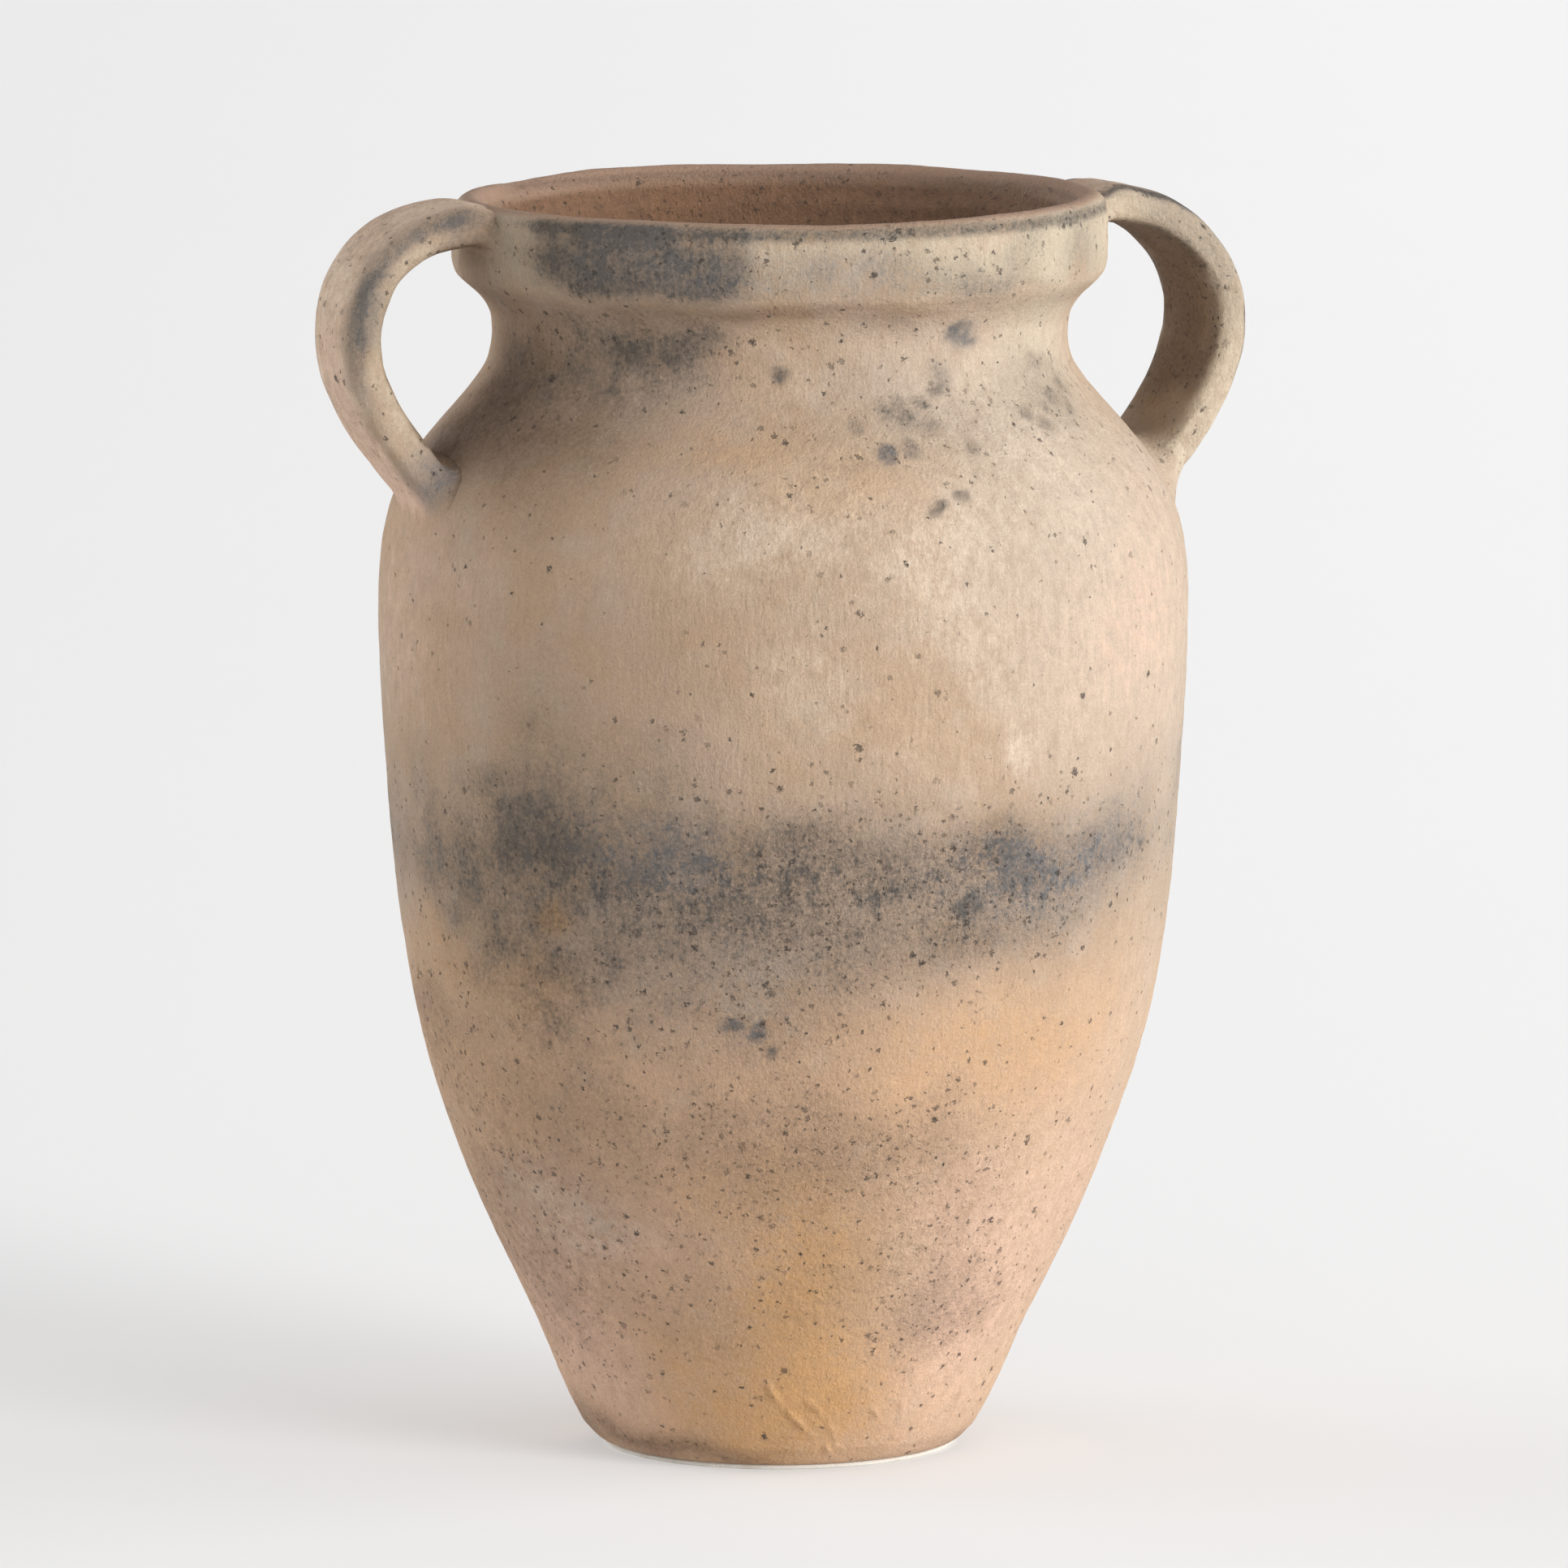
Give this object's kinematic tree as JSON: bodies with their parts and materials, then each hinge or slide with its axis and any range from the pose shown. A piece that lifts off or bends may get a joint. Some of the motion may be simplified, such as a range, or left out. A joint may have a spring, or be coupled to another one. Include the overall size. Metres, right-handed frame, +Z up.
{
  "type": "amphora",
  "caption": "Tall shouldered terracotta amphora with a narrow foot, a wide mouth inside a thick rim collar, and broad strap handles.",
  "frame": {"origin": "centre of the underside, on the surface that the amphora stands on, and on the pot's turning axis", "axes": "+Z up along the pot's axis; the handles stand along -X and +X; +Y completes a right-handed frame"},
  "size_m": [0.387, 0.327, 0.5089],
  "materials": {
    "wall_clay": "matte",
    "collar_clay": "matte",
    "handle_clay": "matte",
    "felt": "matte"
  },
  "bodies": {
    "root": {"base_pad": "felt", "foot_slab": "wall_clay", "lower_wall": "wall_clay", "upper_wall": "wall_clay", "neck": "wall_clay", "rim_collar": "collar_clay", "left_handle": "handle_clay", "left_handle_upper_fillet": "handle_clay", "left_handle_lower_fillet": "handle_clay", "right_handle": "handle_clay", "right_handle_upper_fillet": "handle_clay", "right_handle_lower_fillet": "handle_clay"}
  },
  "joints": []
}
